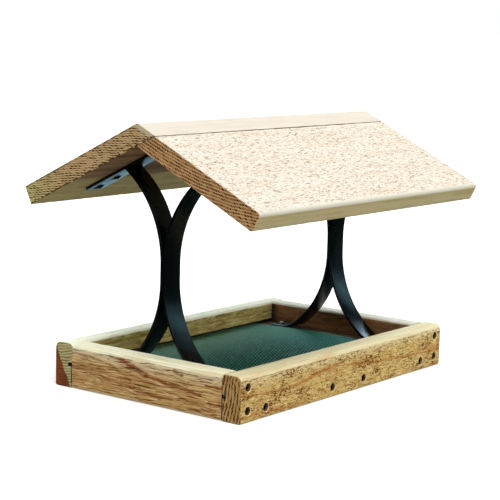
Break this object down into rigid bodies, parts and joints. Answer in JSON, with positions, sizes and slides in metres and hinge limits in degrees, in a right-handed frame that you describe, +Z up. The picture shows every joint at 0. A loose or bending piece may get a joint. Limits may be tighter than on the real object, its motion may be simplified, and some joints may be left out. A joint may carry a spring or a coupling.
{
  "type": "fly-through bird feeder",
  "caption": "Open cedar tray bird feeder with a screen floor and a gable roof on bowed flat-bar supports, open on every side.",
  "frame": {"origin": "on the resting surface, under the middle of the tray", "axes": "+X along the ridge, +Y towards the back rail, +Z up"},
  "size_m": [0.438, 0.33, 0.3065],
  "materials": {
    "rails": "eased cedar, rough-sawn outer faces",
    "end_rails": "eased cedar, rough-sawn outer faces",
    "cross_boards": "plain sawn cedar",
    "roof_boards": "rough-sawn cedar, smooth eased edges",
    "supports": "black powder coat, satin",
    "screen": "dark green coated fine weave",
    "screws": "dark coated steel"
  },
  "bodies": {
    "root": {"front_rail": "rails", "back_rail": "rails", "left_end_rail": "end_rails", "right_end_rail": "end_rails", "left_foot_board": "cross_boards", "right_foot_board": "cross_boards", "centre_board": "cross_boards", "floor_screen": "screen", "front_roof_board": "roof_boards", "back_roof_board": "roof_boards", "left_roof_bracket": "supports", "right_roof_bracket": "supports", "left_front_leg": "supports", "left_back_leg": "supports", "right_front_leg": "supports", "right_back_leg": "supports", "front_corner_screws": "screws", "back_corner_screws": "screws", "front_floor_screws": "screws", "back_floor_screws": "screws", "left_bracket_screws": "screws", "right_bracket_screws": "screws", "left_foot_screws": "screws", "right_foot_screws": "screws"}
  },
  "joints": []
}
